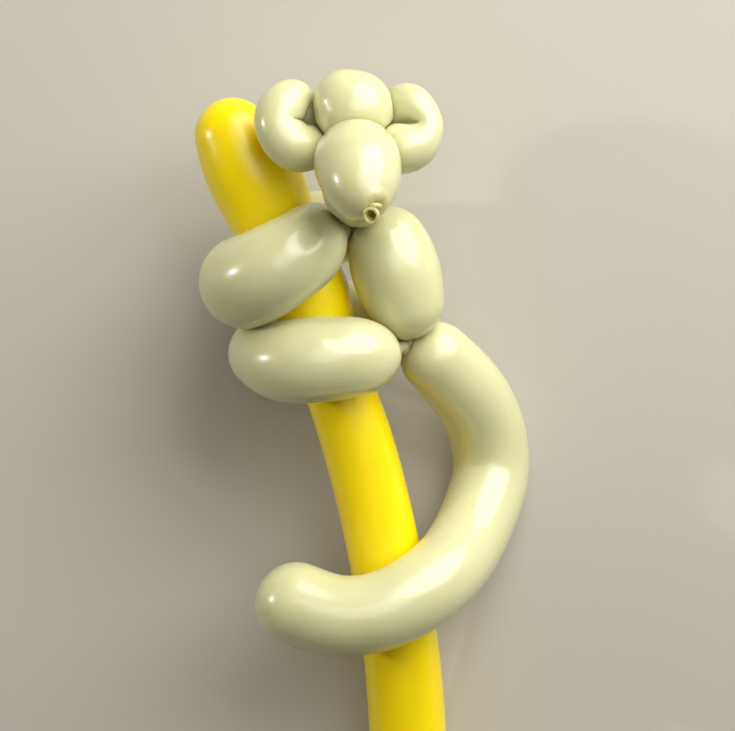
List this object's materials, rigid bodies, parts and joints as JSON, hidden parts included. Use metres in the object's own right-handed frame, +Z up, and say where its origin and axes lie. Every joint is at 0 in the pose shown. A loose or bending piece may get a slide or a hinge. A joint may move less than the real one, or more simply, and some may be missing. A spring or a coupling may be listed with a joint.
{
  "type": "balloon monkey",
  "caption": "Monkey twisted from a long cream modelling balloon, its arms and legs looped round a yellow balloon pole and its long tail curled across it, lying on its back.",
  "frame": {"origin": "middle of the footprint, on the floor the pair lies on", "axes": "+Z up, away from the floor; +Y from the pole's knotted end towards the monkey's head; +X to the viewer's right when the face is seen the right way up"},
  "size_m": [0.1968, 0.5214, 0.1923],
  "materials": {
    "cream_latex": "glossy stretched latex, slightly see-through",
    "yellow_latex": "glossy stretched latex, slightly see-through"
  },
  "bodies": {
    "root": {"monkey_balloon": "cream_latex", "pole_balloon": "yellow_latex"}
  },
  "joints": []
}
